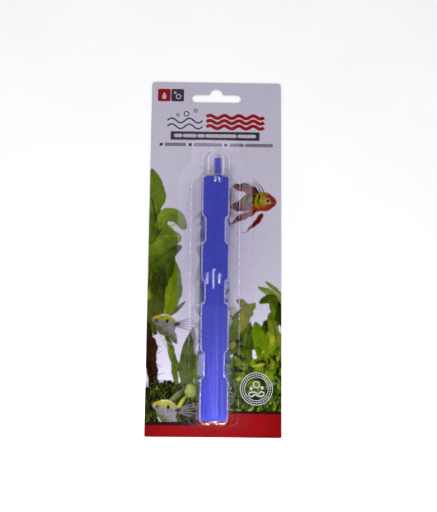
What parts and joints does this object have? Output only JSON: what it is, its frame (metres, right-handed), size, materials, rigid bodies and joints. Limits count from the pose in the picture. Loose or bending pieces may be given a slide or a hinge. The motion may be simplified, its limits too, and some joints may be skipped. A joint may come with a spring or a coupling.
{
  "type": "air stone in blister pack",
  "caption": "Cylindrical porous air stone with an off-centre air stem, lying under a clear waisted thermoformed blister sealed to a flat hanging card with a peg slot.",
  "frame": {"origin": "middle of the card's back face, with the pack lying on its back", "axes": "+X across the card, +Y along the card towards the hang slot, +Z out of the printed face"},
  "size_m": [0.085, 0.23, 0.0204],
  "materials": {
    "printed_board": "satin",
    "seal_lacquer": "gloss",
    "clear_sheet": "gloss",
    "blue_grain": "matte",
    "blue_plastic": "gloss",
    "adhesive": "satin"
  },
  "bodies": {
    "card": {"backing_card": "printed_board", "heat_seal_band": "seal_lacquer"},
    "blister": {"blister_shell": "clear_sheet"},
    "stone": {"stone_bar": "blue_grain", "air_stem": "blue_plastic", "stem_glue_bead": "adhesive"}
  },
  "joints": [
    {"name": "blister_lift", "type": "slide", "parent": "card", "child": "blister", "axis": [0, 0, 1], "range_m": [0, 0.075]},
    {"name": "stone_lift", "type": "slide", "parent": "card", "child": "stone", "axis": [0, 0, 1], "range_m": [0, 0.03]}
  ],
  "couplings": [
    {"joint": "stone_lift", "follows": "blister_lift", "ratio": 0.4}
  ]
}
